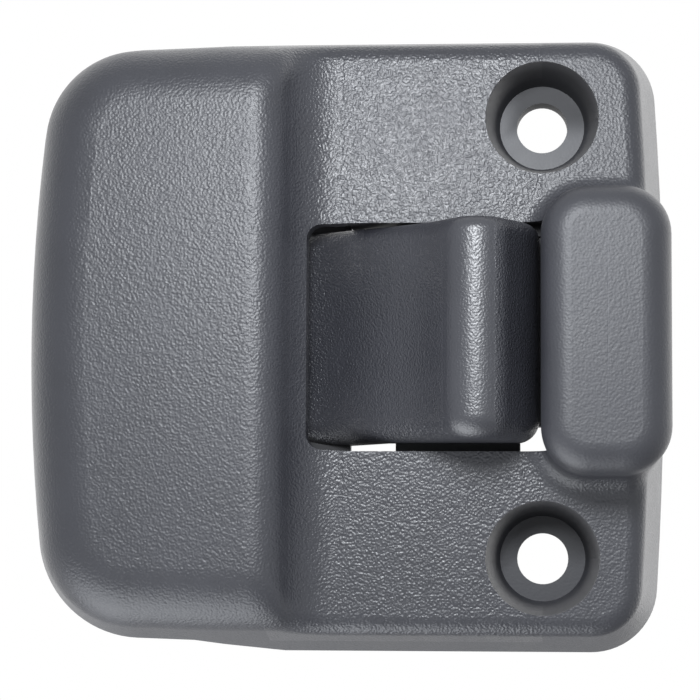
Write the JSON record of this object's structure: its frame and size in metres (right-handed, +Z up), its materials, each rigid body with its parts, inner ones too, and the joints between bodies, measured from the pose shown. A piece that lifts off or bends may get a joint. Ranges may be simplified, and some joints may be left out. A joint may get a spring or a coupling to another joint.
{
  "type": "sliding window latch",
  "caption": "Surface-mounted sliding window latch with a hollow bulge, a fixed thumb post, a spring-returned rocking lever with a hook, and counterbored screw holes",
  "frame": {"origin": "midway between the two screw holes, on the flat back that lies on the glass", "axes": "+X to the right and +Z up as the latch is seen from the room; the front faces -Y, and the back lies in the plane y = 0"},
  "size_m": [0.0662, 0.0205, 0.0644],
  "materials": {
    "housing_plastic": "leather-grained satin glass-filled nylon",
    "lever_plastic": "finely grained satin glass-filled nylon",
    "pin_steel": "drawn steel",
    "spring_steel": "drawn spring wire"
  },
  "bodies": {
    "body": {"housing": "housing_plastic", "pivot_pin": "pin_steel", "return_spring": "spring_steel"},
    "rocker": {"lever": "lever_plastic"}
  },
  "joints": [
    {"name": "lever_rock", "type": "hinge", "parent": "body", "child": "rocker", "pos_m": [-0.0087, -0.005, 0], "axis": [0, 0, 1], "range_deg": [0, 7], "stiffness_Nm_per_rad": 0.4, "springref_deg": -6.88, "deforming": ["return_spring"]}
  ]
}
